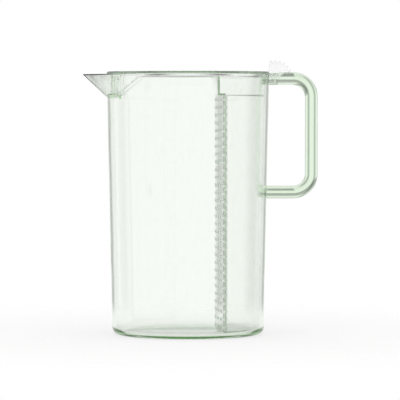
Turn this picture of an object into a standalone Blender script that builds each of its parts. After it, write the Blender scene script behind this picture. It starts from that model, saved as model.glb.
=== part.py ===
"""A covered drinks pitcher: a tinted moulded jug, a hinged lid and a lift-out slotted infuser."""

import math

import bmesh
import bpy

# Gap between pieces that rest on or pass each other, in metres like every length below
FIT = 0.0003

# Jug shell, whose radius narrows by the taper from the rim down to the base
JUG_HEIGHT = 0.2270
RIM_RADIUS = 0.0710
WALL_TAPER = 0.0048
WALL = 0.0024
FLOOR_THICKNESS = 0.0034
BASE_ROUND = 0.0055

# Spout: how far its lip reaches past the rim, and how deep its keel starts. It leans out most at the keel,
# which is eased by this radius, and keeps the lean of its flanks from this half width on. Its side crease
# starts level, turns up this far behind the keel within this length, and then climbs at this slope
SPOUT_REACH = 0.0213
SPOUT_DEPTH = 0.0203
KEEL_ROUND = 0.0012
FLANK_LEAN = 0.24
NOSE_HALF = 0.0400
CREASE_SLOPE = 0.826
CREASE_START = 0.0084
CREASE_TURN = 0.0050

# Handle rod: its reach runs from the rim to the grip's centre line, its span between those of the two bars
HANDLE_DIAMETER = 0.0115
HANDLE_REACH = 0.0368
HANDLE_SPAN = 0.0991
HANDLE_BEND = 0.0160
HANDLE_DROP = 0.0039

# Hinge and thumb lever
PIN_RADIUS = 0.0012
PIN_OFFSET = 0.0050
EAR_RADIUS = 0.0028
EAR_THICKNESS = 0.0012
LEVER_THICKNESS = 0.0020
LEVER_RADIUS = 0.0160
TOOTH_DEPTH = 0.0028
TOOTH_PITCH = math.radians(15)
FIRST_TOOTH = math.radians(-14)
TOOTH_COUNT = 6
FOOT_LENGTH = 0.0120
FOOT_WIDTH = 0.0130

# Lid, whose edge is cut back this far from the rim at the hinge
LID_THICKNESS = 0.0018
LID_CUT_BACK = 0.0020
SKIRT_DEPTH = 0.0024
SKIRT_WALL = 0.0018

# Pour strainer, which hangs this deep, lies this far inside the wall at the rim, and spans this angle to each
# side of the spout
STRAINER_DEPTH = 0.0215
STRAINER_FIT = 0.0011
STRAINER_THICKNESS = 0.0016
STRAINER_ANGLE = math.radians(31)
STRAINER_BORDER = 0.0032
STRAINER_SLOTS = 11
STRAINER_SLOT_SHARE = 0.45

# Infuser: the front corners lie at this distance from the jug axis and the screen bulges towards the spout
INFUSER_FIT = 0.0006
INFUSER_WALL = 0.0016
INFUSER_FLOOR = 0.0022
CORNER_X = 0.0296
SCREEN_BULGE = 0.0066
SCREEN_THICKNESS = 0.0014
POST_LIP = 0.0012
POST_DEPTH = 0.0034
COLLAR_DEPTH = 0.0162
COLLAR_FLARE = 0.0030
COLLAR_STEP = 0.0044
SLOT_ROWS = 30
SLOT_COLUMNS = 8
SLOT_HEIGHT_SHARE = 0.42
SLOT_WIDTH_SHARE = 0.70

# How finely round shapes are divided
ROUND_STEPS = 96
ARC_STEPS = 28
PIN_STEPS = 32

# Sizes that follow from the ones above
BASE_RADIUS = RIM_RADIUS - WALL_TAPER
KEEL_LEAN = SPOUT_REACH / SPOUT_DEPTH
HANDLE_TOP = JUG_HEIGHT - HANDLE_DROP
HANDLE_RADIUS = HANDLE_DIAMETER / 2
PIN_X = RIM_RADIUS + PIN_OFFSET
PIN_Z = HANDLE_TOP
LEVER_HALF = LEVER_THICKNESS / 2
EAR_INNER = LEVER_HALF + FIT
EAR_OUTER = EAR_INNER + EAR_THICKNESS
POCKET_HALF = EAR_OUTER + FIT
POCKET_FLOOR = PIN_Z - EAR_RADIUS - FIT
LID_UNDER = JUG_HEIGHT + FIT
LID_TOP = LID_UNDER + LID_THICKNESS
SKIRT_RADIUS = RIM_RADIUS - WALL - 2 * FIT
SKIRT_BOTTOM = LID_UNDER - SKIRT_DEPTH
LID_REAR = RIM_RADIUS - LID_CUT_BACK
FOOT_TOP = LID_UNDER - FIT
FOOT_BOTTOM = SKIRT_BOTTOM + FIT
STRAINER_RADIUS = RIM_RADIUS - WALL - STRAINER_FIT
STRAINER_TOP = LID_UNDER - FIT
COLLAR_TOP = SKIRT_BOTTOM - FIT
COLLAR_BOTTOM = COLLAR_TOP - COLLAR_DEPTH
INFUSER_BOTTOM = FLOOR_THICKNESS + FIT
BASKET_BOTTOM = INFUSER_BOTTOM + INFUSER_FLOOR + FIT
BASKET_TOP = COLLAR_BOTTOM - FIT


# Scene and helpers

for old in list(bpy.data.objects):
    bpy.data.objects.remove(old, do_unlink=True)

parts = bpy.data.collections.new("infusion_pitcher")
cutters = bpy.data.collections.new("cutters")
bpy.context.scene.collection.children.link(parts)
bpy.context.scene.collection.children.link(cutters)


def plastic(name, colour, roughness):
    made = bpy.data.materials.new(name)
    made.use_nodes = True
    shader = made.node_tree.nodes["Principled BSDF"]
    shader.inputs["Base Color"].default_value = (*colour, 1)
    shader.inputs["Roughness"].default_value = roughness
    shader.inputs["Metallic"].default_value = 0
    made.diffuse_color = (*colour, 1)
    return made


def add(name, mesh, material=None):
    """Puts a mesh in the scene: a part when it has a material, and a cutter when it has none."""
    made = bpy.data.objects.new(name, mesh)
    if material:
        mesh.materials.clear()
        mesh.materials.append(material)
        parts.objects.link(made)
    else:
        made.hide_render = True
        made.display_type = "WIRE"
        cutters.objects.link(made)
    return made


def mesh_of(name, points, faces):
    mesh = bpy.data.meshes.new(name)
    mesh.from_pydata(points, [], faces)
    shape = bmesh.new()
    shape.from_mesh(mesh)
    bmesh.ops.recalc_face_normals(shape, faces=shape.faces)
    shape.to_mesh(mesh)
    shape.free()
    return mesh


def loft(name, rings, ring_closed=False):
    """Skins rings with equal numbers of points, and caps both ends unless the row closes on itself."""
    count = len(rings[0])
    points = [point for ring in rings for point in ring]
    faces = []
    for row in range(len(rings) if ring_closed else len(rings) - 1):
        lower = row * count
        upper = (row + 1) % len(rings) * count
        for column in range(count):
            beside = (column + 1) % count
            faces.append((lower + column, lower + beside, upper + beside, upper + column))
    if not ring_closed:
        faces.append(tuple(range(count)))
        faces.append(tuple(range(len(points) - count, len(points))))
    return mesh_of(name, points, faces)


def slotted_plate(name, columns, rows, place):
    """A curved plate with a window wherever an odd column crosses an odd row. place gives its points."""
    wide = len(columns)
    points = [place(u, v, side) for side in (0, 1) for v in rows for u in columns]
    back = wide * len(rows)

    def solid(column, row):
        inside = 0 <= column < wide - 1 and 0 <= row < len(rows) - 1
        return inside and not (column % 2 and row % 2)

    faces = []
    for row in range(len(rows) - 1):
        for column in range(wide - 1):
            if not solid(column, row):
                continue
            corner = row * wide + column
            loop = (corner, corner + 1, corner + wide + 1, corner + wide)
            faces.append(loop)
            faces.append(tuple(back + index for index in loop))
            beside = ((column, row - 1), (column + 1, row), (column, row + 1), (column - 1, row))
            for edge, (next_column, next_row) in enumerate(beside):
                if not solid(next_column, next_row):
                    start, end = loop[edge], loop[(edge + 1) % 4]
                    faces.append((start, end, back + end, back + start))
    return mesh_of(name, points, faces)


def flat_plate(name, outline, middle, half_thickness):
    """A plate cut to an outline of (x, z) points, standing across Y at the given middle."""
    curve = bpy.data.curves.new(name, "CURVE")
    curve.dimensions = "2D"
    curve.fill_mode = "BOTH"
    curve.extrude = half_thickness
    spline = curve.splines.new("POLY")
    spline.points.add(len(outline) - 1)
    for point, (x, z) in zip(spline.points, outline):
        point.co = (x, z, 0, 1)
    spline.use_cyclic_u = True
    drawn = bpy.data.objects.new(name, curve)
    drawn.location = (0, middle, 0)
    drawn.rotation_euler = (math.pi / 2, 0, 0)
    return baked(drawn)


def baked(drawn):
    """The mesh of a curve in world space, with its caps welded on."""
    bpy.context.scene.collection.objects.link(drawn)
    bpy.context.view_layer.update()
    graph = bpy.context.evaluated_depsgraph_get()
    mesh = bpy.data.meshes.new_from_object(drawn.evaluated_get(graph))
    shape = bmesh.new()
    shape.from_mesh(mesh)
    bmesh.ops.transform(shape, matrix=drawn.matrix_world, verts=shape.verts)
    bmesh.ops.remove_doubles(shape, verts=shape.verts, dist=1e-6)
    bmesh.ops.recalc_face_normals(shape, faces=shape.faces)
    shape.to_mesh(mesh)
    shape.free()
    bpy.data.objects.remove(drawn, do_unlink=True)
    return mesh


def block(name, low, high):
    """A box cutter between two opposite corners."""
    shape = bmesh.new()
    bmesh.ops.create_cube(shape, size=1)
    for vertex in shape.verts:
        vertex.co = [a + (b - a) * (c + 0.5) for a, b, c in zip(low, high, vertex.co)]
    mesh = bpy.data.meshes.new(name)
    shape.to_mesh(mesh)
    shape.free()
    return add(name, mesh)


def cross_rod(name, radius, half_length, material=None):
    """A round rod on the hinge axis."""
    shape = bmesh.new()
    bmesh.ops.create_cone(
        shape, cap_ends=True, segments=PIN_STEPS, radius1=radius, radius2=radius, depth=2 * half_length
    )
    mesh = bpy.data.meshes.new(name)
    shape.to_mesh(mesh)
    shape.free()
    made = add(name, mesh, material)
    made.location = (PIN_X, 0, PIN_Z)
    made.rotation_euler = (math.pi / 2, 0, 0)
    return made


def turned(name, profile, material=None):
    """A solid of revolution about Z from (radius, height) points that run down its outer side."""
    mesh = bpy.data.meshes.new(name)
    points = [(radius, 0, height) for radius, height in profile]
    mesh.from_pydata(points, [(index, index + 1) for index in range(len(points) - 1)], [])
    made = add(name, mesh, material)
    screw = made.modifiers.new("turn", "SCREW")
    screw.steps = screw.render_steps = ROUND_STEPS
    screw.use_merge_vertices = True
    screw.merge_threshold = 1e-5
    return made


def combine(target, tool, operation="DIFFERENCE"):
    boolean = target.modifiers.new(tool.name, "BOOLEAN")
    boolean.operation = operation
    boolean.solver = "EXACT"
    boolean.object = tool


def carried_by(empty, *pieces):
    """Parents pieces to an empty without moving them."""
    bpy.context.view_layer.update()
    for piece in pieces:
        piece.parent = empty
        piece.matrix_parent_inverse = empty.matrix_world.inverted()


def spread(first, last, steps):
    return [first + (last - first) * index / steps for index in range(steps + 1)]


TINTED = plastic("tinted SAN", (0.72, 0.86, 0.69), 0.05)
CLEAR = plastic("clear SAN", (0.90, 0.93, 0.89), 0.06)


# Jug body: one moulding, a tapered shell whose wall folds outwards along a crease to make the spout

def wall_radius(height):
    return BASE_RADIUS + (RIM_RADIUS - BASE_RADIUS) * height / JUG_HEIGHT


def beak_lean(angle):
    """How far the beak leans out for each unit up, at an angle from the spout."""
    aside = math.hypot(RIM_RADIUS * math.sin(angle), KEEL_ROUND) - KEEL_ROUND
    return FLANK_LEAN + (KEEL_LEAN - FLANK_LEAN) * max(0, 1 - aside / NOSE_HALF) ** 2


def crease_height(angle, inset):
    """Height where the wall starts to lean out, which ends at the rim and lies higher inside the wall."""
    past = RIM_RADIUS * (1 - math.cos(angle)) - CREASE_START
    climb = past + math.hypot(past, CREASE_TURN)
    start = math.hypot(CREASE_START, CREASE_TURN) - CREASE_START
    lift = inset * (math.hypot(1, beak_lean(angle)) - 1) / beak_lean(angle)
    return JUG_HEIGHT - SPOUT_DEPTH + lift + CREASE_SLOPE * (climb - start) / 2


def wall_point(angle, inset, height):
    radius = wall_radius(height) - inset
    lean = beak_lean(angle) * max(0, height - crease_height(angle, inset))
    return (-radius * math.cos(angle) - lean, radius * math.sin(angle), height)


ANGLES = spread(0, 2 * math.pi, ROUND_STEPS)[:-1]
RIM_EDGE = WALL / 2
RIM_ROUND = WALL / 4
INNER_ROUND = BASE_ROUND - WALL


def level_ring(inset, height):
    return [wall_point(angle, inset, height) for angle in ANGLES]


def crease_ring(inset):
    top = JUG_HEIGHT - RIM_EDGE
    return [wall_point(angle, inset, min(crease_height(angle, inset), top)) for angle in ANGLES]


def corner_rings(inset, floor, radius):
    """The rounded corner between a floor and the wall, from the floor up."""
    turns = spread(0, math.pi / 2, 4)
    return [
        level_ring(inset + radius * (1 - math.sin(turn)), floor + radius * (1 - math.cos(turn)))
        for turn in turns
    ]


outside = corner_rings(0, 0, BASE_ROUND) + [crease_ring(0), level_ring(0, JUG_HEIGHT - RIM_ROUND)]
inside = corner_rings(WALL, FLOOR_THICKNESS, INNER_ROUND)
inside += [crease_ring(WALL), level_ring(WALL, JUG_HEIGHT - RIM_ROUND)]
rim = [level_ring(RIM_ROUND, JUG_HEIGHT), level_ring(WALL - RIM_ROUND, JUG_HEIGHT)]
jug_body = add("jug_body", loft("jug_body", outside + rim + inside[::-1]), TINTED)

# The notch in the rim lets the hinge ears of the infuser through to the handle
notch = block(
    "rim_notch",
    (RIM_RADIUS - 5 * WALL, -POCKET_HALF, POCKET_FLOOR),
    (RIM_RADIUS + 5 * WALL, POCKET_HALF, JUG_HEIGHT + WALL),
)
combine(jug_body, notch)


# Handle: a round rod bent to a D, its ends shaped to the jug wall and its root forked for the lever

def bend(centre_x, centre_z, first, last):
    return [
        (centre_x + HANDLE_BEND * math.cos(turn), centre_z + HANDLE_BEND * math.sin(turn))
        for turn in spread(first, last, 8)
    ]


HANDLE_FOOT = HANDLE_TOP - HANDLE_SPAN
BEND_X = RIM_RADIUS + HANDLE_REACH - HANDLE_BEND
path = [(RIM_RADIUS - 2 * WALL, HANDLE_TOP)]
path += bend(BEND_X, HANDLE_TOP - HANDLE_BEND, math.pi / 2, 0)
path += bend(BEND_X, HANDLE_FOOT + HANDLE_BEND, 0, -math.pi / 2)
path += [(RIM_RADIUS - 4 * WALL, HANDLE_FOOT)]

rod = bpy.data.curves.new("handle", "CURVE")
rod.dimensions = "3D"
rod.bevel_depth = HANDLE_RADIUS
rod.bevel_resolution = 5
rod.use_fill_caps = True
line = rod.splines.new("POLY")
line.points.add(len(path) - 1)
for point, (x, z) in zip(line.points, path):
    point.co = (x, 0, z, 1)
handle = add("handle", baked(bpy.data.objects.new("handle", rod)), TINTED)

wall_envelope = turned(
    "wall_envelope",
    [
        (0, JUG_HEIGHT + HANDLE_DIAMETER),
        (RIM_RADIUS + FIT, JUG_HEIGHT + HANDLE_DIAMETER),
        (RIM_RADIUS + FIT, JUG_HEIGHT),
        (BASE_RADIUS + FIT, 0),
        (0, 0),
    ],
)
ear_pocket = block(
    "ear_pocket",
    (RIM_RADIUS - WALL, -POCKET_HALF, POCKET_FLOOR),
    (PIN_X + EAR_RADIUS + FIT, POCKET_HALF, HANDLE_TOP + HANDLE_DIAMETER),
)
lever_slit = block(
    "lever_slit",
    (PIN_X, -EAR_INNER, HANDLE_TOP - HANDLE_DIAMETER),
    (PIN_X + LEVER_RADIUS + FIT, EAR_INNER, HANDLE_TOP + HANDLE_DIAMETER),
)
for tool in (wall_envelope, ear_pocket, lever_slit):
    combine(handle, tool)


# Infuser floor: the plate that the basket stands on, cut to the plan of the infuser

def infuser_radius(height):
    return wall_radius(height) - WALL - INFUSER_FIT


def rear_arc(radius, corner_x, height):
    """Points along the jug wall from one front corner round to the other."""
    half = math.acos(corner_x / radius)
    turns = spread(-half, half, ARC_STEPS)
    return [(radius * math.cos(turn), radius * math.sin(turn), height) for turn in turns]


def infuser_ring(inset, height, bulge, step=0.0):
    """Plan of the infuser: the rear arc and the bulged front, its corners a step ahead, closed to a loop."""
    radius = infuser_radius(height) - inset
    corner_x = CORNER_X + inset - step
    half = math.sqrt(radius**2 - corner_x**2)
    front = [
        (corner_x - bulge * (1 - (y / half) ** 2), y, height) for y in spread(half, -half, ARC_STEPS)[1:-1]
    ]
    return rear_arc(radius, corner_x, height) + front


floor_top = INFUSER_BOTTOM + INFUSER_FLOOR
FLOOR_INSET = INNER_ROUND
floor_rings = [
    infuser_ring(FLOOR_INSET, INFUSER_BOTTOM, SCREEN_BULGE),
    infuser_ring(FLOOR_INSET - INFUSER_FLOOR, floor_top, SCREEN_BULGE),
]
infuser_floor = add("infuser_floor", loft("infuser_floor", floor_rings), CLEAR)


# Infuser shell: the plain rear wall with a square post at each front corner

POST_X = CORNER_X + POST_DEPTH


def post_y(height):
    """Half the width between the posts, which stand a lip proud of the lining behind them."""
    return math.sqrt((infuser_radius(height) - INFUSER_WALL) ** 2 - POST_X**2) - POST_LIP


def shell_ring(height):
    outer = rear_arc(infuser_radius(height), CORNER_X, height)
    lining = rear_arc(infuser_radius(height) - INFUSER_WALL, POST_X, height)[::-1]
    y = post_y(height)
    left = [(CORNER_X, y, height), (POST_X, y, height)]
    right = [(POST_X, -y, height), (CORNER_X, -y, height)]
    return outer + left + lining + right


shell_rings = [shell_ring(BASKET_BOTTOM), shell_ring(BASKET_TOP)]
infuser_shell = add("infuser_shell", loft("infuser_shell", shell_rings), CLEAR)


# Infuser screen: the bulged front wall with rows of slots, held between the posts

def screen_point(u, v, side):
    height = BASKET_BOTTOM + (BASKET_TOP - BASKET_BOTTOM) * v
    x = CORNER_X + FIT + side * SCREEN_THICKNESS - SCREEN_BULGE * (1 - u**2)
    return (x, u * (post_y(height) - FIT), height)


def slotted(first, last, count, share):
    """Breaks a length into equal pitches, each with a slot of this share of the pitch in its middle."""
    pitch = (last - first) / count
    breaks = [first]
    for index in range(count):
        middle = first + pitch * (index + 0.5)
        breaks += [middle - pitch * share / 2, middle + pitch * share / 2]
    return breaks + [last]


screen_columns = slotted(-1, 1, SLOT_COLUMNS, SLOT_WIDTH_SHARE)
screen_rows = slotted(0, 1, SLOT_ROWS, SLOT_HEIGHT_SHARE)
infuser_screen = add(
    "infuser_screen", slotted_plate("infuser_screen", screen_columns, screen_rows, screen_point), CLEAR
)


# Infuser collar: the hopper mouth on top of the basket, its front corners stepped out on a narrow shelf,
# with two ears that carry the hinge pin

shelf_top = COLLAR_BOTTOM + INFUSER_WALL
step_bulge = SCREEN_BULGE - COLLAR_STEP
collar_rings = [
    infuser_ring(0, COLLAR_BOTTOM, step_bulge, COLLAR_STEP),
    infuser_ring(0, COLLAR_TOP, step_bulge + COLLAR_FLARE, COLLAR_STEP),
    infuser_ring(INFUSER_WALL, COLLAR_TOP, step_bulge + COLLAR_FLARE, COLLAR_STEP),
    infuser_ring(INFUSER_WALL, shelf_top, step_bulge, COLLAR_STEP),
    infuser_ring(INFUSER_WALL + FIT, shelf_top, SCREEN_BULGE),
    infuser_ring(INFUSER_WALL + FIT, COLLAR_BOTTOM, SCREEN_BULGE),
]
infuser_collar = add("infuser_collar", loft("infuser_collar", collar_rings, ring_closed=True), CLEAR)

EAR_ROOT = infuser_radius(COLLAR_BOTTOM) - INFUSER_WALL / 2
ear_outline = [(EAR_ROOT, PIN_Z - EAR_RADIUS)]
ear_outline += [
    (PIN_X + EAR_RADIUS * math.sin(turn), PIN_Z - EAR_RADIUS * math.cos(turn))
    for turn in spread(0, math.pi, 12)
]
ear_outline += [(PIN_X - EAR_RADIUS, COLLAR_TOP), (EAR_ROOT, COLLAR_TOP)]
for side in (-1, 1):
    middle = side * (EAR_INNER + EAR_OUTER) / 2
    ear_name = "ear_left" if side < 0 else "ear_right"
    ear = add(ear_name, flat_plate(ear_name, ear_outline, middle, EAR_THICKNESS / 2))
    combine(infuser_collar, ear, "UNION")
pin_bore = cross_rod("pin_bore", PIN_RADIUS + FIT, 2 * EAR_OUTER)
combine(infuser_collar, pin_bore)

# Hinge pin: a plain moulded rod through both ears and the lever
hinge_pin = cross_rod("hinge_pin", PIN_RADIUS, EAR_OUTER, TINTED)


# Lid plate: a flat disc that rests on the rim, with a shallow skirt inside the mouth

lid_plate = turned(
    "lid_plate",
    [
        (0, LID_TOP),
        (RIM_RADIUS - RIM_ROUND, LID_TOP),
        (RIM_RADIUS, LID_TOP - RIM_ROUND),
        (RIM_RADIUS, LID_UNDER),
        (SKIRT_RADIUS, LID_UNDER),
        (SKIRT_RADIUS, SKIRT_BOTTOM),
        (SKIRT_RADIUS - SKIRT_WALL, SKIRT_BOTTOM),
        (SKIRT_RADIUS - SKIRT_WALL, LID_UNDER),
        (0, LID_UNDER),
    ],
    CLEAR,
)
hinge_gap = block(
    "hinge_gap",
    (LID_REAR, -HANDLE_RADIUS - 4 * FIT, LID_UNDER - SKIRT_DEPTH),
    (RIM_RADIUS + WALL, HANDLE_RADIUS + 4 * FIT, LID_TOP + WALL),
)
SKIRT_GAP_HALF = RIM_RADIUS / 3
rear_skirt_gap = block(
    "rear_skirt_gap",
    (RIM_RADIUS * 0.6, -SKIRT_GAP_HALF, SKIRT_BOTTOM - WALL),
    (RIM_RADIUS + WALL, SKIRT_GAP_HALF, LID_UNDER),
)
STRAINER_HALF = STRAINER_RADIUS * math.sin(STRAINER_ANGLE)
front_skirt_gap = block(
    "front_skirt_gap",
    (-RIM_RADIUS - WALL, -STRAINER_HALF - 4 * FIT, SKIRT_BOTTOM - WALL),
    (-RIM_RADIUS * 0.6, STRAINER_HALF + 4 * FIT, LID_UNDER),
)
for tool in (hinge_gap, rear_skirt_gap, front_skirt_gap):
    combine(lid_plate, tool)


# Pour strainer: a curved grille that hangs from the lid across the throat of the spout, where the skirt stops

def strainer_point(u, v, side):
    radius = STRAINER_RADIUS - side * STRAINER_THICKNESS
    return (-radius * math.cos(u), radius * math.sin(u), STRAINER_TOP - STRAINER_DEPTH * v)


strainer_columns = slotted(-STRAINER_ANGLE, STRAINER_ANGLE, STRAINER_SLOTS, STRAINER_SLOT_SHARE)
border = STRAINER_BORDER / STRAINER_DEPTH
strainer_rows = [0, border, 1 - border, 1]
pour_strainer = add(
    "pour_strainer", slotted_plate("pour_strainer", strainer_columns, strainer_rows, strainer_point), TINTED
)


# Thumb lever: a toothed quadrant about the hinge pin, with a foot that lies under the lid

def lever_point(turn, radius):
    return (PIN_X + radius * math.sin(turn), PIN_Z + radius * math.cos(turn))


FOOT_REAR = SKIRT_RADIUS - SKIRT_WALL
WEB_X = infuser_radius(COLLAR_TOP) + FIT
LAST_TOOTH = FIRST_TOOTH + (TOOTH_COUNT - 1) * TOOTH_PITCH
lever_outline = [(LID_REAR + 3 * FIT, FOOT_TOP)]
for index in range(TOOTH_COUNT):
    turn = FIRST_TOOTH + index * TOOTH_PITCH
    if index:
        lever_outline.append(lever_point(turn - TOOTH_PITCH * 0.5, LEVER_RADIUS - TOOTH_DEPTH))
    lever_outline.append(lever_point(turn - TOOTH_PITCH * 0.1, LEVER_RADIUS))
    lever_outline.append(lever_point(turn + TOOTH_PITCH * 0.1, LEVER_RADIUS))
lever_outline.append(lever_point(LAST_TOOTH + TOOTH_PITCH * 0.3, LEVER_RADIUS - TOOTH_DEPTH))
hub_turns = spread(LAST_TOOTH + math.pi / 6, 1.5 * math.pi, 12)
lever_outline += [lever_point(turn, EAR_RADIUS) for turn in hub_turns]
lever_outline += [(WEB_X, FOOT_BOTTOM), (FOOT_REAR - FIT, FOOT_BOTTOM), (FOOT_REAR - FIT, FOOT_TOP)]
thumb_lever = add("thumb_lever", flat_plate("thumb_lever", lever_outline, 0, LEVER_HALF), CLEAR)
lever_foot = block(
    "lever_foot",
    (FOOT_REAR - FOOT_LENGTH, -FOOT_WIDTH / 2, FOOT_BOTTOM),
    (FOOT_REAR, FOOT_WIDTH / 2, FOOT_TOP),
)
combine(thumb_lever, lever_foot, "UNION")
combine(thumb_lever, pin_bore)


# Moving groups: the infuser lifts out of the jug and carries the lid, which turns on the hinge pin

infuser_lift = bpy.data.objects.new("infuser_lift", None)
infuser_lift.location = (0, 0, INFUSER_BOTTOM)
lid_hinge = bpy.data.objects.new("lid_hinge", None)
lid_hinge.location = (PIN_X, 0, PIN_Z)
for empty in (infuser_lift, lid_hinge):
    parts.objects.link(empty)
carried_by(lid_hinge, lid_plate, pour_strainer, thumb_lever)
carried_by(infuser_lift, infuser_floor, infuser_shell, infuser_screen, infuser_collar, hinge_pin, lid_hinge)
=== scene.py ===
import math

import bmesh
import bpy
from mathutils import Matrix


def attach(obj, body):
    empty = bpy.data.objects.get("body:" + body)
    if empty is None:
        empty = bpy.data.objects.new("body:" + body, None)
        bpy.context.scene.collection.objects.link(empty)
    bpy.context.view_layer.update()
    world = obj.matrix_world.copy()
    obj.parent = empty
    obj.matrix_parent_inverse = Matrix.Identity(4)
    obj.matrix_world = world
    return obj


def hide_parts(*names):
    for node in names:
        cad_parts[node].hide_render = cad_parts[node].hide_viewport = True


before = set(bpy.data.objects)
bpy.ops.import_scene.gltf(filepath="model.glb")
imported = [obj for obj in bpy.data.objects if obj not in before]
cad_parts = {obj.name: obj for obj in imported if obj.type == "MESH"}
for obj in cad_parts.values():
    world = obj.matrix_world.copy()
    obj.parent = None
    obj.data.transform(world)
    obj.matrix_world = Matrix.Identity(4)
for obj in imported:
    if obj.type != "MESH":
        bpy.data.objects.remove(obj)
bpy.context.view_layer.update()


# Jug: one injection moulding of green-tinted SAN, a tapered shell with a thick floor on a low foot ring.
# The wall folds outwards along a soft crease to make the beak, and the rim's edges are eased.
# A square notch in the rim behind lets the hinge ears through.
JUG_HEIGHT = 0.2270
RIM_RADIUS = 0.0710
BASE_RADIUS = 0.0662
WALL = 0.0024
FLOOR_THICKNESS = 0.0034
BASE_ROUND = 0.0055
FOOT_RING = 0.0070
FOOT_RECESS = 0.0006
FOOT_EDGE = ((0.0015, 0.9), (0.0010, 0.5), (0.0005, 0.1), (0.0, 0.0))
UNDERSIDE_EASE = 0.0020
SPOUT_DEPTH = 0.0203
KEEL_LEAN = 0.0213 / 0.0203
FLANK_LEAN = 0.24
NOSE_HALF = 0.040
KEEL_ROUND = 0.0012
CREASE_SLOPE = 0.826
CREASE_START = 0.0084
CREASE_TURN = 0.0050
CREASE_SOFT_OUTSIDE = 0.0006
CREASE_SOFT_INSIDE = 0.0010
CREASE_LAG = 0.0020
CREASE_REACH = 1.4
RIM_ROUND = 0.0006
SPOUT_NOSE = 0.09165
NOTCH_HALF = 0.0028
NOTCH_FLOOR = 0.2200
JUG_COLUMNS = 288
KEEL_CROWDING = 0.7
ROUND_STEPS = 12
SHARPEST_ROUND = 34
MIDDLE_RING = 0.001
SUPPORT = 0.0004
ABOVE_ALL = 0.24


def spread(first, last, steps):
    return [first + (last - first) * index / steps for index in range(steps + 1)]


def wall_radius(height):
    return BASE_RADIUS + (RIM_RADIUS - BASE_RADIUS) * height / JUG_HEIGHT


def beak_lean(angle):
    """How far the beak leans out for each unit up: most at its eased keel, least along its flanks."""
    aside = math.hypot(RIM_RADIUS * math.sin(angle), KEEL_ROUND) - KEEL_ROUND
    return FLANK_LEAN + (KEEL_LEAN - FLANK_LEAN) * max(0, 1 - aside / NOSE_HALF) ** 2


def crease_height(angle, inset):
    """The crease starts level at the keel, turns up, and climbs evenly to the rim. It lies higher inside."""
    past = RIM_RADIUS * (1 - math.cos(angle)) - CREASE_START
    climb = past + math.hypot(past, CREASE_TURN)
    start = math.hypot(CREASE_START, CREASE_TURN) - CREASE_START
    lean = beak_lean(angle)
    flank = (KEEL_LEAN - lean) / (KEEL_LEAN - FLANK_LEAN)
    lift = (math.hypot(1, lean) - 1) / lean + CREASE_LAG / WALL * flank
    return JUG_HEIGHT - SPOUT_DEPTH + inset * lift + CREASE_SLOPE * (climb - start) / 2


def crease_softness(inset):
    """The fold is crisp outside and rounder inside the wall."""
    return CREASE_SOFT_OUTSIDE + (CREASE_SOFT_INSIDE - CREASE_SOFT_OUTSIDE) * inset / WALL


def wall_point(angle, inset, height):
    """A point of the jug wall at an angle from the spout. The beak leans out from the crease up."""
    rise = height - crease_height(angle, inset)
    soft = crease_softness(inset)
    if abs(rise) < soft:
        rise = (rise + soft) ** 2 / (4 * soft)
    radius = wall_radius(height) - inset
    out = -radius * math.cos(angle) - beak_lean(angle) * max(0, rise)
    return (max(out, -SPOUT_NOSE), radius * math.sin(angle), height)


def jug_angles():
    """Angles round the jug from the spout, crowded about its keel."""
    return [turn - KEEL_CROWDING * math.sin(turn) for turn in spread(0, 2 * math.pi, JUG_COLUMNS)[:-1]]


def wall_ring(inset, height):
    return [wall_point(angle, inset, height) for angle in jug_angles()]


def corner_rings(inset, floor, radius):
    """The round between a floor and the wall, with a ring close to each end to keep the flats flat."""
    rings = [wall_ring(inset + radius + SUPPORT, floor)]
    for turn in spread(0, math.pi / 2, ROUND_STEPS):
        rings.append(wall_ring(inset + radius * (1 - math.sin(turn)), floor + radius * (1 - math.cos(turn))))
    return rings + [wall_ring(inset, floor + radius + SUPPORT)]


def crease_rings(inset):
    """Rings across the crease, which crowd under the rim where there is no beak."""
    offsets = spread(-CREASE_REACH, CREASE_REACH, 8)
    rings = []
    for place, offset in enumerate(offsets):
        highest = JUG_HEIGHT - RIM_ROUND - SUPPORT * (len(offsets) - place) / 2
        ring = []
        for angle in jug_angles():
            height = crease_height(angle, inset) + offset * crease_softness(inset)
            ring.append(wall_point(angle, inset, min(height, highest)))
        rings.append(ring)
    return rings


def skin(rings, closed=False):
    """Skins rings with equal numbers of points, and caps both ends unless the row closes on itself."""
    shape = bmesh.new()
    rows = [[shape.verts.new(point) for point in ring] for ring in rings]
    for lower, upper in zip(rows, rows[1:] + rows[:1] if closed else rows[1:]):
        for column, corner in enumerate(lower):
            beside = (column + 1) % len(lower)
            shape.faces.new((corner, lower[beside], upper[beside], upper[column]))
    if not closed:
        shape.faces.new(rows[0][::-1])
        shape.faces.new(rows[-1])
    bmesh.ops.recalc_face_normals(shape, faces=shape.faces)
    return shape


def piece(name, shape):
    mesh = bpy.data.meshes.new(name)
    shape.to_mesh(mesh)
    shape.free()
    made = bpy.data.objects.new(name, mesh)
    bpy.context.scene.collection.objects.link(made)
    return made


def block(low, high):
    """A box between two opposite corners, to cut with."""
    (x0, y0, z0), (x1, y1, z1) = low, high
    return skin([[(x0, y0, z), (x1, y0, z), (x1, y1, z), (x0, y1, z)] for z in (z0, z1)])


def trim(target, tool_shape, operation="DIFFERENCE"):
    """Cuts a shape out of a piece, or joins it on, and leaves plain mesh."""
    tool = piece("tool", tool_shape)
    change = target.modifiers.new("trim", "BOOLEAN")
    change.operation = operation
    change.solver = "EXACT"
    change.object = tool
    graph = bpy.context.evaluated_depsgraph_get()
    trimmed = bpy.data.meshes.new_from_object(target.evaluated_get(graph))
    target.modifiers.clear()
    target.data = trimmed
    bpy.data.objects.remove(tool, do_unlink=True)


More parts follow.
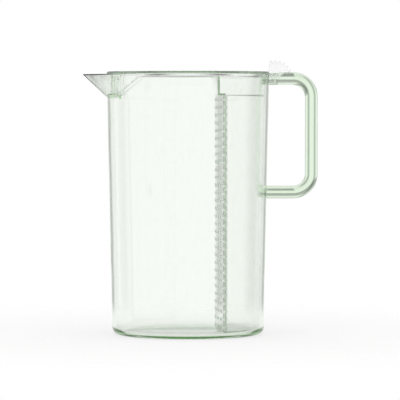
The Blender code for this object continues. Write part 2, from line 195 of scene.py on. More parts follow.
def polish(target, material):
    """Gives a piece its material and smooth shading, broken only at its sharp edges."""
    mesh = target.data
    mesh.materials.clear()
    mesh.materials.append(material)
    mesh.polygons.foreach_set("use_smooth", [True] * len(mesh.polygons))
    mesh.set_sharp_from_angle(angle=math.radians(SHARPEST_ROUND))


def linear(colour):
    """An sRGB hex value as linear red, green, blue and alpha."""
    parts = [int(colour[place:place + 2], 16) / 255 for place in (1, 3, 5)]
    return [c / 12.92 if c <= 0.04045 else ((c + 0.055) / 1.055) ** 2.4 for c in parts] + [1.0]


def node(tree, kind, sockets=None, **settings):
    """Adds a shader node, with its settings, and sets or links each input that is named."""
    made = tree.nodes.new("ShaderNode" + kind)
    for name, value in settings.items():
        setattr(made, name, value)
    for name, value in (sockets or {}).items():
        if isinstance(value, bpy.types.NodeSocket):
            tree.links.new(value, made.inputs[name])
        else:
            made.inputs[name].default_value = value
    return made


# SAN is a hard, glass-clear plastic. From the mould it is glossy, with broad shallow flow waves that make
# what lies behind it swim a little. Washing leaves a faint haze and upright rub marks that dull it, and the
# tint only shows where light runs a long way through it: along the rim, down the rod and in the floor.
# Real rub marks are a tenth of a millimetre wide or less, and are drawn coarser here so that they show.
SAN_IOR = 1.567
FLOW_MM = 34
FLOW_DEPTH = 0.001
HAZE_MM = 9
HAZE_RANGE = (0.3, 0.9)
RUB_MM = 0.9
RUB_SQUEEZE = (1.0, 1.0, 0.08)
RUB_RANGE = (0.58, 0.72)
RUB_DULLING = 0.4
RUB_DEPTH = 0.0001
RUB_STRENGTH = 0.02
FRESH_COLOUR = "#ffffff"
RUBBED_COLOUR = "#f4f7f3"


def moulded_san(name, tint, depth_mm, gloss, flow):
    """Clear SAN whose colour is reached at this depth. Gloss is its least and greatest roughness."""
    material = bpy.data.materials.new(name)
    material.use_nodes = True
    tree = material.node_tree
    tree.nodes.clear()
    place = node(tree, "TexCoord").outputs["Object"]
    waves = node(tree, "TexNoise", {"Vector": place, "Scale": 1000 / FLOW_MM, "Detail": 1.0})
    haze = node(tree, "TexNoise", {"Vector": place, "Scale": 1000 / HAZE_MM, "Detail": 4.0})
    streaks = node(tree, "Mapping", {"Vector": place, "Scale": RUB_SQUEEZE})
    rubs = node(
        tree,
        "TexNoise",
        {"Vector": streaks.outputs["Vector"], "Scale": 1000 / RUB_MM, "Detail": 2.0},
    )
    scuffs = node(
        tree,
        "MapRange",
        {"Value": rubs.outputs["Fac"], "From Min": RUB_RANGE[0], "From Max": RUB_RANGE[1]},
    )
    worn = node(
        tree,
        "Math",
        {0: scuffs.outputs["Result"], 1: haze.outputs["Fac"]},
        operation="MULTIPLY",
    )
    dulled = node(
        tree,
        "Math",
        {0: worn.outputs["Value"], 1: RUB_DULLING, 2: haze.outputs["Fac"]},
        operation="MULTIPLY_ADD",
    )
    roughness = node(
        tree,
        "MapRange",
        {
            "Value": dulled.outputs["Value"],
            "From Min": HAZE_RANGE[0],
            "From Max": HAZE_RANGE[1],
            "To Min": gloss[0],
            "To Max": gloss[1],
        },
    )
    surface = node(
        tree,
        "Mix",
        {"Factor": worn.outputs["Value"], 6: linear(FRESH_COLOUR), 7: linear(RUBBED_COLOUR)},
        data_type="RGBA",
    )
    swim = node(
        tree, "Bump", {"Height": waves.outputs["Fac"], "Strength": flow, "Distance": FLOW_DEPTH}
    )
    skin_of_mould = node(
        tree,
        "Bump",
        {
            "Height": worn.outputs["Value"],
            "Strength": RUB_STRENGTH,
            "Distance": RUB_DEPTH,
            "Normal": swim.outputs["Normal"],
        },
        invert=True,
    )
    shader = node(
        tree,
        "BsdfPrincipled",
        {
            "Base Color": surface.outputs[2],
            "Roughness": roughness.outputs["Result"],
            "IOR": SAN_IOR,
            "Transmission Weight": 1.0,
            "Normal": skin_of_mould.outputs["Normal"],
        },
    )
    density = 1000 / depth_mm
    body = node(tree, "VolumeAbsorption", {"Color": linear(tint), "Density": density})
    node(tree, "OutputMaterial", {"Surface": shader.outputs["BSDF"], "Volume": body.outputs["Volume"]})
    return material


underside = [
    [(-r * math.cos(a), r * math.sin(a), FOOT_RECESS) for a in jug_angles()]
    for r in (MIDDLE_RING, BASE_RADIUS - BASE_ROUND - FOOT_RING - UNDERSIDE_EASE)
]
foot_edge = []
for inset, share in FOOT_EDGE + ((-SUPPORT, 0.0),):
    foot_edge.append(wall_ring(BASE_ROUND + FOOT_RING + inset, FOOT_RECESS * share))
rim = []
for first, edge in ((0, RIM_ROUND), (math.pi / 2, WALL - RIM_ROUND)):
    for turn in spread(first, first + math.pi / 2, 5):
        inset = edge - RIM_ROUND * math.cos(turn)
        rim.append(wall_ring(inset, JUG_HEIGHT - RIM_ROUND * (1 - math.sin(turn))))
outside = underside + foot_edge + corner_rings(0, 0, BASE_ROUND) + crease_rings(0)
inside = corner_rings(WALL, FLOOR_THICKNESS, BASE_ROUND - WALL) + crease_rings(WALL)
floor_middle = [
    (-MIDDLE_RING * math.cos(a), MIDDLE_RING * math.sin(a), FLOOR_THICKNESS) for a in jug_angles()
]
jug = piece("jug_shell", skin(outside + rim + inside[::-1] + [floor_middle]))
trim(jug, block(
    (RIM_RADIUS - 5 * WALL, -NOTCH_HALF, NOTCH_FLOOR),
    (RIM_RADIUS + 5 * WALL, NOTCH_HALF, ABOVE_ALL),
))
green_san = moulded_san("green-tinted SAN, moulded", "#f1faee", 10, (0.015, 0.07), 0.08)
polish(jug, green_san)
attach(jug, "jug")
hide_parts("jug_body")


# Handle: a round rod of the jug's green SAN, bent to a D and welded to the wall at both ends. Its material
# is tinted deeper than the shell's, and that extra tint is painted shade.
# Its upper root is forked, with a pocket for the hinge ears and a slit that the thumb lever swings in.
ROD_RADIUS = 0.00559
GRIP_X = 0.1078
BAR_HEIGHTS = (0.2231, 0.1240)
BEND = 0.0160
BEND_STEPS = 24
ROD_SIDES = 56
SLIT_FLOOR = 0.2000
PIN_X = 0.0760
PIN_Z = 0.2231
EAR_RADIUS = 0.0028
EAR_INNER = 0.0013
LEVER_RADIUS = 0.0160
FIT = 0.0003


def rod(path, radius):
    """Sweeps a round section along (x, z) points that lie in the plane of the handle."""
    rings = []
    for place, (x, z) in enumerate(path):
        before, after = path[max(place - 1, 0)], path[min(place + 1, len(path) - 1)]
        along = math.atan2(after[1] - before[1], after[0] - before[0])
        ring = []
        for turn in spread(0, 2 * math.pi, ROD_SIDES)[:-1]:
            out = radius * math.cos(turn)
            ring.append((x - out * math.sin(along), radius * math.sin(turn), z + out * math.cos(along)))
        rings.append(ring)
    return skin(rings)


def turned(profile):
    """A solid of revolution about the jug axis from (radius, height) points."""
    angles = spread(0, 2 * math.pi, JUG_COLUMNS)[:-1]
    return skin([[(r * math.cos(a), r * math.sin(a), z) for a in angles] for r, z in profile])


top_bar, low_bar = BAR_HEIGHTS
bend_x = GRIP_X - BEND
path = [(x, top_bar) for x in spread(RIM_RADIUS - 2 * WALL, bend_x - SUPPORT, 3)]
for centre, first in ((top_bar - BEND, math.pi / 2), (low_bar + BEND, 0)):
    for turn in spread(first, first - math.pi / 2, BEND_STEPS):
        path.append((bend_x + BEND * math.cos(turn), centre + BEND * math.sin(turn)))
path += [(x, low_bar) for x in spread(bend_x - SUPPORT, RIM_RADIUS - 4 * WALL, 3)]
handle = piece("handle_rod", rod(path, ROD_RADIUS))
trim(handle, turned([
    (MIDDLE_RING, 0),
    (BASE_RADIUS + FIT, 0),
    (RIM_RADIUS + FIT, JUG_HEIGHT),
    (RIM_RADIUS + FIT, ABOVE_ALL),
    (MIDDLE_RING, ABOVE_ALL),
]))
trim(handle, block(
    (RIM_RADIUS - WALL, -NOTCH_HALF, NOTCH_FLOOR),
    (PIN_X + EAR_RADIUS + FIT, NOTCH_HALF, ABOVE_ALL),
))
trim(handle, block(
    (PIN_X, -EAR_INNER, SLIT_FLOOR),
    (PIN_X + LEVER_RADIUS + FIT, EAR_INNER, ABOVE_ALL),
))
# The rod is the same plastic as the shell. Its deeper tint is painted shade, standing in for the dim
# surroundings that it shows. Light runs along it, so that it reads plainly green
shade_tinted_san = moulded_san("green SAN, tinted deeper as painted shade", "#e4f5de", 10, (0.015, 0.07), 0.08)
polish(handle, shade_tinted_san)
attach(handle, "jug")
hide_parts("handle")


# Infuser basket: clear SAN mouldings that stand in the jug on the handle's side. A floor plate carries a
# plain rear wall with a square post at each front corner. The wall's top edges are eased.
INFUSER_FIT = 0.0006
INFUSER_WALL = 0.0016
INFUSER_FLOOR = 0.0022
INFUSER_BOTTOM = FLOOR_THICKNESS + FIT
CORNER_X = 0.0296
SCREEN_BULGE = 0.0066
POST_LIP = 0.0012
POST_DEPTH = 0.0034
POST_ROUND = 0.0004
POST_STEPS = 4
BASKET_BOTTOM = INFUSER_BOTTOM + INFUSER_FLOOR + FIT
BASKET_TOP = 0.2081
BASKET_EASE = 0.0005
EASE_STEPS = 4
FLOOR_STEPS = 6
ARC_COLUMNS = 96


def infuser_radius(height):
    return wall_radius(height) - WALL - INFUSER_FIT


def rear_arc(radius, corner_x, height):
    half = math.acos(corner_x / radius)
    return [(radius * math.cos(a), radius * math.sin(a), height) for a in spread(-half, half, ARC_COLUMNS)]


def plan_ring(inset, height, bulge, step=0.0):
    """The infuser's plan: the rear arc and the bulged front, its corners a step ahead, as one loop."""
    radius = infuser_radius(height) - inset
    corner_x = CORNER_X + inset - step
    half = math.sqrt(radius ** 2 - corner_x ** 2)
    front = spread(half, -half, ARC_COLUMNS)[1:-1]
    return rear_arc(radius, corner_x, height) + [
        (corner_x - bulge * (1 - (y / half) ** 2), y, height) for y in front
    ]


def rounded(corners, radius):
    """Points that turn a square corner, given the points before, at and after it, into a small round."""
    before, corner, after = corners
    made = []
    for share in spread(0, 1, POST_STEPS):
        ends = []
        for end in (before, after):
            length = math.dist(end[:2], corner[:2])
            ends.append([c + (e - c) * radius / length for c, e in zip(corner[:2], end[:2])])
        first = [c + (a - c) * (1 - share) for a, c in zip(ends[0], corner)]
        last = [c + (a - c) * share for a, c in zip(ends[1], corner)]
        x, y = [a + (b - a) * share for a, b in zip(first, last)]
        made.append((x, y, corner[2]))
    return made


def post_y(height):
    """Half the width between the posts."""
    lining = infuser_radius(height) - INFUSER_WALL
    return math.sqrt(lining ** 2 - (CORNER_X + POST_DEPTH) ** 2) - POST_LIP


def shell_ring(height, inset=0.0):
    """The rear wall's plan with its two posts, drawn in all round by the inset."""
    outer = rear_arc(infuser_radius(height) - inset, CORNER_X + inset, height)
    post_x = CORNER_X + POST_DEPTH - inset
    lining = rear_arc(infuser_radius(height) - INFUSER_WALL + inset, post_x, height)[::-1]
    y = post_y(height) + inset
    ends = []
    for side, start, stop in ((1, outer[-1], lining[0]), (-1, outer[0], lining[-1])):
        front, back = (CORNER_X + inset, side * y, height), (post_x, side * y, height)
        ends.append(rounded((start, front, back), POST_ROUND) + rounded((front, back, stop), POST_ROUND))
    return outer + ends[0] + lining + ends[1][::-1]


floor_inset = BASE_ROUND - WALL
floor_rings = []
for turn in spread(0, math.pi / 2, FLOOR_STEPS):
    floor_rings.append(plan_ring(
        floor_inset - INFUSER_FLOOR * math.sin(turn),
        INFUSER_BOTTOM + INFUSER_FLOOR * (1 - math.cos(turn)),
        SCREEN_BULGE,
    ))
infuser_floor = piece("infuser_floor_plate", skin(floor_rings))
shell_rings = [shell_ring(BASKET_BOTTOM), shell_ring(BASKET_TOP - 2 * BASKET_EASE)]
for turn in spread(0, math.pi / 2, EASE_STEPS):
    drop = BASKET_EASE * (1 - math.sin(turn))
    shell_rings.append(shell_ring(BASKET_TOP - drop, BASKET_EASE * (1 - math.cos(turn))))
infuser_shell = piece("infuser_rear_wall", skin(shell_rings))
# Without the tint the same plastic is almost colourless, and only its edges and joints show
clear_san = moulded_san("clear SAN, moulded", "#e1ebdf", 30, (0.02, 0.09), 0.12)
for made, replaced in ((infuser_floor, "infuser_floor"), (infuser_shell, "infuser_shell")):
    polish(made, clear_san)
    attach(made, "infuser")
    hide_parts(replaced)


# Infuser screen: the basket's front, a thin bowed panel of clear SAN pierced by rows of round-ended slots.
# It snaps between the two posts.
SCREEN_THICKNESS = 0.0014
SLOT_ROWS = 30
SLOT_COLUMNS = 8
SLOT_WIDTH = 0.70
SLOT_HEIGHT = 0.42
CELL_SIDE = 6
SLOT_SHARPNESS = 3
MERGE = 1e-6


def slotted_sheet(breaks_u, breaks_v, hole, place):
    """A curved sheet made of cells, each with a round-ended slot in it.

    The breaks bound the cells, hole gives the slot's shares of a cell's two sides, and place(u, v, side) the
    points.
    """
    shape = bmesh.new()
    edge = spread(-1, 1, CELL_SIDE)[:-1]
    square = [(p, -1) for p in edge] + [(1, p) for p in edge]
    square += [(-p, 1) for p in edge] + [(-1, -p) for p in edge]

    def ring(column, row, pierced, side):
        left, right = breaks_u[column:column + 2]
        low, high = breaks_v[row:row + 2]
        points = []
        for p, q in square:
            if pierced:
                size = math.hypot(p ** SLOT_SHARPNESS, q ** SLOT_SHARPNESS)
                wide, tall = place_size(left, right, low, high)
                half_wide, half_tall = hole[0] * wide / 2, hole[1] * tall / 2
                end = min(half_wide, half_tall)
                across = p * (half_wide - end) + end * p ** SLOT_SHARPNESS / size
                along = q * (half_tall - end) + end * q ** SLOT_SHARPNESS / size
                p, q = 2 * across / wide, 2 * along / tall
            u = (left + right) / 2 + p * (right - left) / 2
            v = (low + high) / 2 + q * (high - low) / 2
            points.append(shape.verts.new(place(u, v, side)))
        return points

    def place_size(left, right, low, high):
        middle_v, middle_u = (low + high) / 2, (left + right) / 2
        wide = math.dist(place(left, middle_v, 0), place(right, middle_v, 0))
        tall = math.dist(place(middle_u, low, 0), place(middle_u, high, 0))
        return wide, tall

    count = len(square)
    for row in range(len(breaks_v) - 1):
        for column in range(len(breaks_u) - 1):
            outer = [ring(column, row, False, side) for side in (0, 1)]
            inner = [ring(column, row, True, side) for side in (0, 1)]
            for first, second in ((outer[0], inner[0]), (inner[1], outer[1]), (inner[0], inner[1])):
                for at in range(count):
                    after = (at + 1) % count
                    shape.faces.new((first[at], first[after], second[after], second[at]))
            borders = (row == 0, column == len(breaks_u) - 2, row == len(breaks_v) - 2, column == 0)
            for quarter, at_border in enumerate(borders):
                for step in range(CELL_SIDE if at_border else 0):
                    at = quarter * CELL_SIDE + step
                    after = (at + 1) % count
                    shape.faces.new((outer[0][at], outer[1][at], outer[1][after], outer[0][after]))
    bmesh.ops.remove_doubles(shape, verts=shape.verts, dist=MERGE)
    bmesh.ops.recalc_face_normals(shape, faces=shape.faces)
    return shape


def screen_point(u, v, side):
    height = BASKET_BOTTOM + (BASKET_TOP - BASKET_BOTTOM) * v
    x = CORNER_X + FIT + side * SCREEN_THICKNESS - SCREEN_BULGE * (1 - u ** 2)
    return (x, u * (post_y(height) - FIT), height)


infuser_screen = piece("infuser_screen_panel", slotted_sheet(
    spread(-1, 1, SLOT_COLUMNS), spread(0, 1, SLOT_ROWS), (SLOT_WIDTH, SLOT_HEIGHT), screen_point
))
polish(infuser_screen, clear_san)
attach(infuser_screen, "infuser")
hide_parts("infuser_screen")


# Infuser collar: the hopper mouth that closes the basket's top, in clear SAN. Its front stands on a narrow
# shelf and flares towards the spout, and two ears behind pass through the rim to hold the hinge pin.
COLLAR_BOTTOM = 0.2084
COLLAR_TOP = 0.2246
COLLAR_FLARE = 0.0030
COLLAR_STEP = 0.0044
LIP_STEPS = 8
EAR_OUTER = 0.0025
EAR_STEPS = 24
PIN_RADIUS = 0.0012
PIN_SIDES = 40


def plate(outline, first, last, edge=0.0):
    """A plate cut to an outline of (x, z) points, from one Y to another, with its edges eased."""
    shape = skin([[(x, y, z) for x, z in outline] for y in (first, last)])
    if edge:
        faces = [face for face in shape.faces if len(face.verts) == len(outline)]
        rims = [e for face in faces for e in face.edges]
        bmesh.ops.bevel(shape, geom=rims, offset=edge, segments=3, profile=0.5, affect="EDGES")
    return shape


def on_pin(turn, radius):
    return (PIN_X + radius * math.sin(turn), PIN_Z + radius * math.cos(turn))


def cross_rod(radius, half, ease=0.0):
    """A round rod along the hinge axis, with eased ends."""
    profile = [(radius - ease, -half), (radius, -half + ease), (radius, half - ease), (radius - ease, half)]
    rings = []
    for r, y in (profile if ease else profile[1:3]):
        around = [on_pin(turn, r) for turn in spread(0, 2 * math.pi, PIN_SIDES)[:-1]]
        rings.append([(x, y, z) for x, z in around])
    return skin(rings)


def collar_ring(inset, share):
    """A ring of the stepped front, at a share of the way from the collar's foot to its lip."""
    height = COLLAR_BOTTOM + (COLLAR_TOP - COLLAR_BOTTOM) * share
    return plan_ring(inset, height, SCREEN_BULGE - COLLAR_STEP + COLLAR_FLARE * share, COLLAR_STEP)


lip = INFUSER_WALL / 2
depth = COLLAR_TOP - COLLAR_BOTTOM
shelf = INFUSER_WALL / depth
collar_rings = []
for turn in spread(0, math.pi / 2, EASE_STEPS):
    rise = BASKET_EASE * (1 - math.cos(turn))
    collar_rings.append(collar_ring(BASKET_EASE * (1 - math.sin(turn)), rise / depth))
collar_rings += [collar_ring(0, share) for share in (0.06, 0.5, 0.93)]
for turn in spread(0, math.pi, LIP_STEPS):
    collar_rings.append(collar_ring(lip * (1 - math.cos(turn)), 1 - lip * (1 - math.sin(turn)) / depth))
collar_rings += [collar_ring(INFUSER_WALL, share) for share in (0.93, 0.5, shelf + 0.02, shelf)]
for height in (COLLAR_BOTTOM + INFUSER_WALL, COLLAR_BOTTOM):
    collar_rings.append(plan_ring(INFUSER_WALL + FIT, height, SCREEN_BULGE))
infuser_collar = piece("infuser_hopper", skin(collar_rings, closed=True))
ear_root = infuser_radius(COLLAR_BOTTOM) - INFUSER_WALL / 2
ear_outline = [(ear_root, PIN_Z - EAR_RADIUS)]
ear_outline += [on_pin(turn, EAR_RADIUS) for turn in spread(math.pi, 0, EAR_STEPS)]
ear_outline += [(PIN_X - EAR_RADIUS, COLLAR_TOP), (ear_root, COLLAR_TOP - INFUSER_WALL / 2)]
for first, last in ((EAR_INNER, EAR_OUTER), (-EAR_OUTER, -EAR_INNER)):
    trim(infuser_collar, plate(ear_outline, first, last), "UNION")
trim(infuser_collar, cross_rod(PIN_RADIUS + FIT, 2 * EAR_OUTER))
polish(infuser_collar, clear_san)
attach(infuser_collar, "infuser")
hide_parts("infuser_collar")


# Hinge pin: a short moulded rod of the handle's material, green SAN tinted deeper as painted shade, with
# eased ends, pressed through both ears.
# The lid's lever turns on it.
PIN_EASE = 0.0002

pin = piece("hinge_pin_rod", cross_rod(PIN_RADIUS, EAR_OUTER, PIN_EASE))
polish(pin, shade_tinted_san)
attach(pin, "infuser")
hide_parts("hinge_pin")


# Lid: a flat disc of clear SAN that closes the mouth, with an eased edge and a shallow locating skirt.
# The skirt stops at the strainer in front and at the hinge behind, where the edge is cut back.
LID_UNDER = 0.2273
LID_TOP = 0.2291
LID_EASE = 0.0008
LID_REAR = 0.0690
SKIRT_RADIUS = 0.0680
SKIRT_WALL = 0.0018
SKIRT_BOTTOM = 0.2249
SKIRT_EASE = 0.0003
SKIRT_CHAMFER = 0.0015
SKIRT_GAP_FROM = RIM_RADIUS * 0.6
SKIRT_GAP_HALF = RIM_RADIUS / 3
STRAINER_ANGLE = math.radians(31)
STRAINER_RADIUS = 0.0675

lid_edge = []
for turn in spread(0, math.pi / 2, 5):
    rim_x = RIM_RADIUS - LID_EASE * (1 - math.sin(turn))
    lid_edge.append((rim_x, LID_TOP - LID_EASE * (1 - math.cos(turn))))
skirt_inside = SKIRT_RADIUS - SKIRT_WALL
skirt_foot = [
    (SKIRT_RADIUS, SKIRT_BOTTOM + SKIRT_EASE),
    (SKIRT_RADIUS - SKIRT_EASE, SKIRT_BOTTOM),
    (skirt_inside, SKIRT_BOTTOM + SKIRT_CHAMFER),
]
lid = piece("lid_disc", turned(
    [(MIDDLE_RING, LID_TOP), (RIM_RADIUS - LID_EASE - SUPPORT, LID_TOP)]
    + lid_edge
    + [(RIM_RADIUS, LID_UNDER), (SKIRT_RADIUS, LID_UNDER)]
    + skirt_foot
    + [(skirt_inside, LID_UNDER), (MIDDLE_RING, LID_UNDER)]
))
hinge_half = ROD_RADIUS + 4 * FIT
past_rim = RIM_RADIUS + WALL
trim(lid, block((LID_REAR, -hinge_half, SKIRT_BOTTOM), (past_rim, hinge_half, LID_TOP + WALL)))
skirt_low = SKIRT_BOTTOM - WALL
trim(lid, block((SKIRT_GAP_FROM, -SKIRT_GAP_HALF, skirt_low), (past_rim, SKIRT_GAP_HALF, LID_UNDER)))
front_half = STRAINER_RADIUS * math.sin(STRAINER_ANGLE) + 4 * FIT
trim(lid, block((-past_rim, -front_half, skirt_low), (-SKIRT_GAP_FROM, front_half, LID_UNDER)))
polish(lid, clear_san)
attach(lid, "lid")
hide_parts("lid_plate")


# Pour strainer: a curved grille of the jug's green SAN, welded under the lid across the throat of the spout.
# Its upright round-ended slots hold back what floats.
STRAINER_TOP = 0.2270
STRAINER_DEPTH = 0.0215
STRAINER_THICKNESS = 0.0016
STRAINER_BORDER = 0.0032
STRAINER_SLOTS = 11
STRAINER_SLOT = 0.45


def strainer_point(u, v, side):
    radius = STRAINER_RADIUS - side * STRAINER_THICKNESS
    return (-radius * math.cos(u), radius * math.sin(u), STRAINER_TOP - STRAINER_DEPTH * v)


border = STRAINER_BORDER / STRAINER_DEPTH
strainer = piece("strainer_grille", slotted_sheet(
    spread(-STRAINER_ANGLE, STRAINER_ANGLE, STRAINER_SLOTS),
    (0, 1),
    (STRAINER_SLOT, 1 - 2 * border),
    strainer_point,
))
polish(strainer, green_san)
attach(strainer, "lid")
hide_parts("pour_strainer")


# Thumb lever: a flat toothed quadrant of clear SAN on the hinge pin. Its foot is welded under the lid, and
# the rounded teeth give the thumb a grip.
LEVER_HALF = 0.0010
TOOTH_DEPTH = 0.0028
TOOTH_PITCH = math.radians(15)
FIRST_TOOTH = math.radians(-14)
TOOTH_COUNT = 6
TOOTH_GAP = ((-0.56, 0.96), (-0.50, 1.0), (-0.44, 0.96))
TOOTH_TIP = ((-0.15, 0.14), (-0.08, 0.03), (0, 0), (0.08, 0.03), (0.15, 0.14))
LAST_SLOPE = 0.3
HUB_STEPS = 20
LEVER_EDGE = 0.0003
FOOT_REAR = SKIRT_RADIUS - SKIRT_WALL
FOOT_LENGTH = 0.0120
FOOT_HALF = 0.0065
FOOT_TOP = LID_UNDER - FIT
FOOT_BOTTOM = SKIRT_BOTTOM + FIT

lever_outline = [(LID_REAR + 3 * FIT, FOOT_TOP)]
for tooth in range(TOOTH_COUNT):
    middle = FIRST_TOOTH + tooth * TOOTH_PITCH
    for across, drop in (TOOTH_GAP if tooth else ()) + TOOTH_TIP:
        lever_outline.append(on_pin(middle + TOOTH_PITCH * across, LEVER_RADIUS - TOOTH_DEPTH * drop))
last_tooth = FIRST_TOOTH + (TOOTH_COUNT - 1) * TOOTH_PITCH
lever_outline.append(on_pin(last_tooth + TOOTH_PITCH * LAST_SLOPE, LEVER_RADIUS - TOOTH_DEPTH))
hub_turns = spread(last_tooth + math.pi / 6, 1.5 * math.pi, HUB_STEPS)
lever_outline += [on_pin(turn, EAR_RADIUS) for turn in hub_turns]
web_x = infuser_radius(COLLAR_TOP) + FIT
lever_outline += [(web_x, FOOT_BOTTOM), (FOOT_REAR - FIT, FOOT_BOTTOM), (FOOT_REAR - FIT, FOOT_TOP)]
lever = piece("thumb_quadrant", plate(lever_outline, -LEVER_HALF, LEVER_HALF, LEVER_EDGE))
foot = block((FOOT_REAR - FOOT_LENGTH, -FOOT_HALF, FOOT_BOTTOM), (FOOT_REAR, FOOT_HALF, FOOT_TOP))
trim(lever, foot, "UNION")
trim(lever, cross_rod(PIN_RADIUS + FIT, 2 * EAR_OUTER))
# An etched mould leaves the lever finely textured, so that it looks like frosted glass
frosted_san = moulded_san("clear SAN, finely textured", "#e1ebdf", 30, (0.14, 0.28), 0.12)
polish(lever, frosted_san)
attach(lever, "lid")
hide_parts("thumb_lever")


# Studio: a white painted table top that fades into a white room, with two soft lamps. Tall grey flags stand
# behind, a grey band and patch hang overhead and a narrow grey card lies low behind the handle. Only the
# glossy, clear plastic shows these, as dark lines along its edges.
TABLE_COLOUR = "#fbfbfa"
TABLE_RINGS = (0.01, 0.1, 0.3, 1.6)
TABLE_SIDES = 64
TABLE_DROP = 0.0002
GRAIN_MM = 1.2
GRAIN_DEPTH = 0.0002
GRAIN_STRENGTH = 0.05
TABLE_FADE = (0.16, 0.40)
TABLE_GLOW = 0.7
FLAG_COUNT = 8.0
FLAG_GREY = 0.5
FLAG_EDGE = (-1.0, 0.1)
FRONT_GREY = 0.95
FRONT_EDGE = (0.0, 0.3)
CARD_GREY = 0.35
CARD_PLACE = 0.034
CARD_EDGE = (0.010, 0.024)
CARD_RISE = (-0.30, -0.10)
# How bright the room looks, from straight down at -1 to straight up at 1
BACKDROP = (
    (-1, 0.9),
    (1, 0.2),
    (-0.4, 0.85),
    (-0.12, 1.0),
    (0.05, 1.0),
    (0.15, 0.42),
    (0.38, 0.5),
    (0.55, 0.95),
    (0.8, 0.95),
    (0.92, 0.2),
)
ROOM_LIGHT = 0.96
LAMPS = (
    ("key_softbox", (-0.9, -1.1, 1.1), 0.7, 1.2),
    ("fill_softbox", (1.0, -0.9, 0.8), 0.6, 0.6),
)
LAMP_SHAPE = 1.4
LAMP_AIM = 0.11
LIGHT_BOUNCES = 64
CLEAR_BOUNCES = 32

scene = bpy.context.scene
scene.view_settings.view_transform = "Standard"

table_angles = spread(0, 2 * math.pi, TABLE_SIDES)[:-1]
shape = bmesh.new()
rows = []
for r in TABLE_RINGS:
    rows.append([shape.verts.new((r * math.cos(a), r * math.sin(a), -TABLE_DROP)) for a in table_angles])
shape.faces.new(rows[0])
for inner, outer in zip(rows, rows[1:]):
    for column, corner in enumerate(inner):
        beside = (column + 1) % len(inner)
        shape.faces.new((corner, outer[column], outer[beside], inner[beside]))
table = piece("table_top", shape)

# Painted board, matt white. It fades out with distance, so that no horizon shows.
board = bpy.data.materials.new("white painted board")
board.use_nodes = True
tree = board.node_tree
tree.nodes.clear()
place = node(tree, "TexCoord").outputs["Object"]
distance = node(tree, "VectorMath", {0: place}, operation="LENGTH")
fade = node(
    tree,
    "MapRange",
    {"Value": distance.outputs["Value"], "From Min": TABLE_FADE[0], "From Max": TABLE_FADE[1]},
    interpolation_type="SMOOTHSTEP",
)
grain = node(tree, "TexNoise", {"Vector": place, "Scale": 1000 / GRAIN_MM, "Detail": 2.0})
tooth_of_paint = node(
    tree,
    "Bump",
    {"Height": grain.outputs["Fac"], "Strength": GRAIN_STRENGTH, "Distance": GRAIN_DEPTH},
)
paint = node(
    tree,
    "BsdfDiffuse",
    {"Color": linear(TABLE_COLOUR), "Normal": tooth_of_paint.outputs["Normal"]},
)
rays = node(tree, "LightPath")
mirrored = node(
    tree,
    "Math",
    {0: rays.outputs["Is Glossy Ray"], 1: rays.outputs["Is Transmission Ray"]},
    operation="MAXIMUM",
)
seen = node(
    tree, "Math", {0: mirrored.outputs["Value"], 1: rays.outputs["Is Camera Ray"]}, operation="MAXIMUM"
)
share = node(tree, "Math", {0: seen.outputs["Value"], 1: TABLE_GLOW}, operation="MULTIPLY")
glow = node(tree, "Emission", {"Color": linear("#ffffff"), "Strength": 1.0})
white = node(
    tree, "MixShader", {0: share.outputs["Value"], 1: paint.outputs["BSDF"], 2: glow.outputs["Emission"]}
)
gone = node(tree, "BsdfTransparent")
mixed = node(
    tree, "MixShader", {0: fade.outputs["Result"], 1: white.outputs["Shader"], 2: gone.outputs["BSDF"]}
)
node(tree, "OutputMaterial", {"Surface": mixed.outputs["Shader"]})
table.data.materials.append(board)

world = bpy.data.worlds.new("white studio")
scene.world = world
world.use_nodes = True
tree = world.node_tree
tree.nodes.clear()
heading = node(tree, "SeparateXYZ", {"Vector": node(tree, "TexCoord").outputs["Generated"]})
azimuth = node(
    tree, "Math", {0: heading.outputs["X"], 1: heading.outputs["Y"]}, operation="ARCTAN2"
)
turns = node(tree, "Math", {0: azimuth.outputs["Value"], 1: FLAG_COUNT}, operation="MULTIPLY")
wave = node(tree, "Math", {0: turns.outputs["Value"]}, operation="COSINE")
flags = node(
    tree,
    "MapRange",
    {
        "Value": wave.outputs["Value"],
        "From Min": FLAG_EDGE[0],
        "From Max": FLAG_EDGE[1],
        "To Min": FLAG_GREY,
        "To Max": 1.0,
    },
)
behind = node(
    tree,
    "MapRange",
    {"Value": heading.outputs["Y"], "From Min": FRONT_EDGE[0], "From Max": FRONT_EDGE[1]},
    interpolation_type="SMOOTHSTEP",
)
round_about = node(
    tree,
    "Mix",
    {"Factor": behind.outputs["Result"], "A": FRONT_GREY, "B": flags.outputs["Result"]},
    data_type="FLOAT",
)
height = node(
    tree, "MapRange", {"Value": heading.outputs["Z"], "From Min": -1.0, "From Max": 1.0}
)
backdrop = node(tree, "ValToRGB", {"Fac": height.outputs["Result"]})
bands = backdrop.color_ramp.elements
stops = [bands[0], bands[1]] + [bands.new(0.5) for _ in BACKDROP[2:]]
for band, (rise, grey) in zip(stops, BACKDROP):
    band.position = (rise + 1) / 2
    band.color = (grey, grey, grey, 1.0)
off_card = node(tree, "Math", {0: heading.outputs["X"], 1: CARD_PLACE}, operation="SUBTRACT")
aside = node(tree, "Math", {0: off_card.outputs["Value"]}, operation="ABSOLUTE")
past_card = node(
    tree,
    "MapRange",
    {
        "Value": aside.outputs["Value"],
        "From Min": CARD_EDGE[0],
        "From Max": CARD_EDGE[1],
        "To Min": CARD_GREY,
    },
    interpolation_type="SMOOTHSTEP",
)
over_card = node(
    tree,
    "MapRange",
    {"Value": heading.outputs["Z"], "From Min": CARD_RISE[0], "From Max": CARD_RISE[1]},
    interpolation_type="SMOOTHSTEP",
)
card = node(
    tree,
    "Mix",
    {"Factor": over_card.outputs["Result"], "A": past_card.outputs["Result"], "B": 1.0},
    data_type="FLOAT",
)
set_lit = node(
    tree, "Math", {0: round_about.outputs["Result"], 1: backdrop.outputs["Color"]}, operation="MULTIPLY"
)
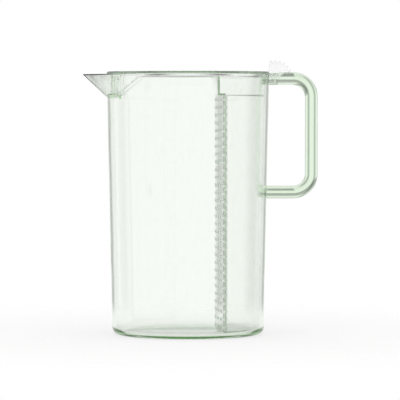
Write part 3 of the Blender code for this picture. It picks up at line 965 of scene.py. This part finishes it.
set_seen = node(
    tree, "Math", {0: set_lit.outputs["Value"], 1: card.outputs["Result"]}, operation="MULTIPLY"
)
rays = node(tree, "LightPath")
mirrored = node(
    tree,
    "Math",
    {0: rays.outputs["Is Glossy Ray"], 1: rays.outputs["Is Transmission Ray"]},
    operation="MAXIMUM",
)
level = node(
    tree,
    "Mix",
    {"Factor": mirrored.outputs["Value"], "A": ROOM_LIGHT, "B": set_seen.outputs["Value"]},
    data_type="FLOAT",
)
shown = node(
    tree,
    "Mix",
    {"Factor": rays.outputs["Is Camera Ray"], "A": level.outputs["Result"], "B": 1.0},
    data_type="FLOAT",
)
background = node(tree, "Background", {"Color": shown.outputs["Result"], "Strength": 1.0})
node(tree, "OutputWorld", {"Surface": background.outputs["Background"]})

for name, spot, size, power in LAMPS:
    lamp = bpy.data.lights.new(name, "AREA")
    lamp.shape = "RECTANGLE"
    lamp.size = size
    lamp.size_y = size * LAMP_SHAPE
    lamp.energy = power
    holder = bpy.data.objects.new(name, lamp)
    holder.location = spot
    aim = [-spot[0], -spot[1], LAMP_AIM - spot[2]]
    tilt = math.atan2(math.hypot(aim[0], aim[1]), -aim[2])
    holder.rotation_euler = (tilt, 0, math.atan2(aim[1], aim[0]) - math.pi / 2)
    scene.collection.objects.link(holder)

# The plastic is seen through many walls at once, so light is followed through more of them than usual
scene.cycles.max_bounces = LIGHT_BOUNCES
scene.cycles.transmission_bounces = LIGHT_BOUNCES
scene.cycles.glossy_bounces = LIGHT_BOUNCES
scene.cycles.transparent_max_bounces = CLEAR_BOUNCES


# Camera: level with the upper part of the jug and far back, looking along the hinge pin with the spout to
# the left. The frame is 350 mm wide at the jug's axis.
CAMERA_PLACE = (0.0105, -2.30, 0.200)
FRAME_CENTRE = (0.0105, 0.0, 0.117)
FRAME_WIDTH = 0.350
SENSOR_WIDTH = 36

lens = bpy.data.cameras.new("camera")
lens.sensor_width = SENSOR_WIDTH
reach = math.dist(CAMERA_PLACE, FRAME_CENTRE)
lens.lens = lens.sensor_width * reach / FRAME_WIDTH
camera = bpy.data.objects.new("camera", lens)
camera.location = CAMERA_PLACE
drop = math.atan2(CAMERA_PLACE[2] - FRAME_CENTRE[2], FRAME_CENTRE[1] - CAMERA_PLACE[1])
camera.rotation_euler = (math.pi / 2 - drop, 0, 0)
scene.collection.objects.link(camera)
scene.camera = camera
